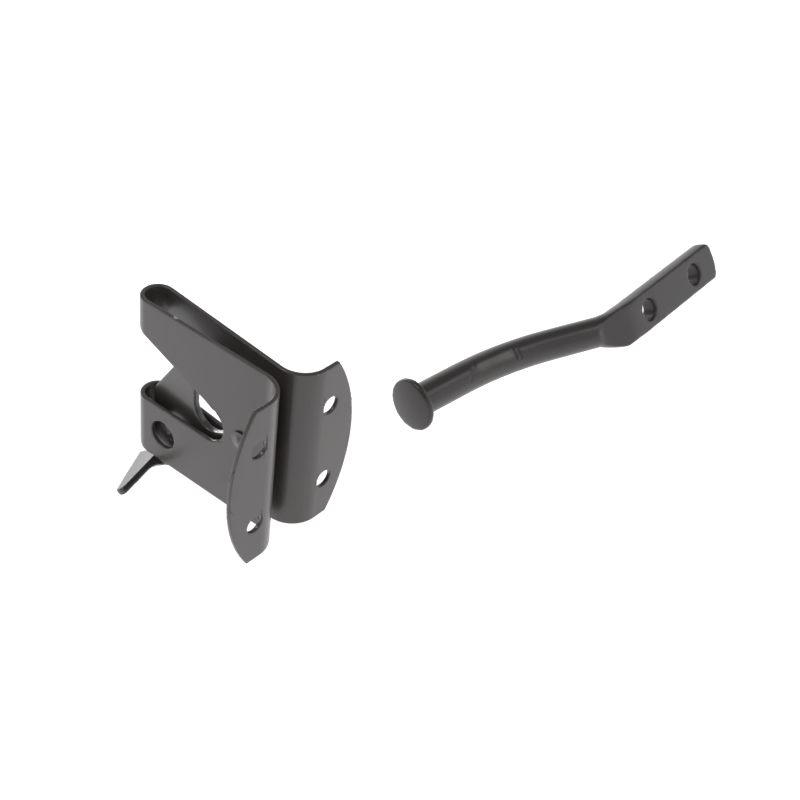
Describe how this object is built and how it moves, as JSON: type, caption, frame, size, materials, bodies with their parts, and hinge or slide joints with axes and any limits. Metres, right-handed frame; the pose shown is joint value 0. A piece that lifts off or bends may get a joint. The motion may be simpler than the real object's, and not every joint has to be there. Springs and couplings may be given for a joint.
{
  "type": "lockable gate latch",
  "caption": "Folded sheet gate latch with a pivoting hook pawl and padlock hole, and the headed striker bar with a flattened palm that it traps.",
  "frame": {"origin": "middle of the four screw holes, on the wings' post side", "axes": "+X into the post, -X toward the nose, +Z along the bracket's height with the thumb tab at the low end, -Y the wall that the tab sticks out past; on a gate post the latch is fixed the other way up, tab on top"},
  "size_m": [0.0966, 0.2729, 0.0787],
  "materials": {
    "bracket_paint": "satin black paint",
    "pawl_paint": "satin black paint",
    "rivet_paint": "satin black paint",
    "bar_paint": "satin black paint"
  },
  "bodies": {
    "latch_frame": {"bracket": "bracket_paint", "pivot_rivet": "rivet_paint", "striker_bar": "bar_paint"},
    "pawl": {"pawl": "pawl_paint"}
  },
  "joints": [
    {"name": "pawl_pivot", "type": "hinge", "parent": "latch_frame", "child": "pawl", "pos_m": [-0.0196, 0, 0], "axis": [0, -1, 0], "range_deg": [0, 35]}
  ]
}
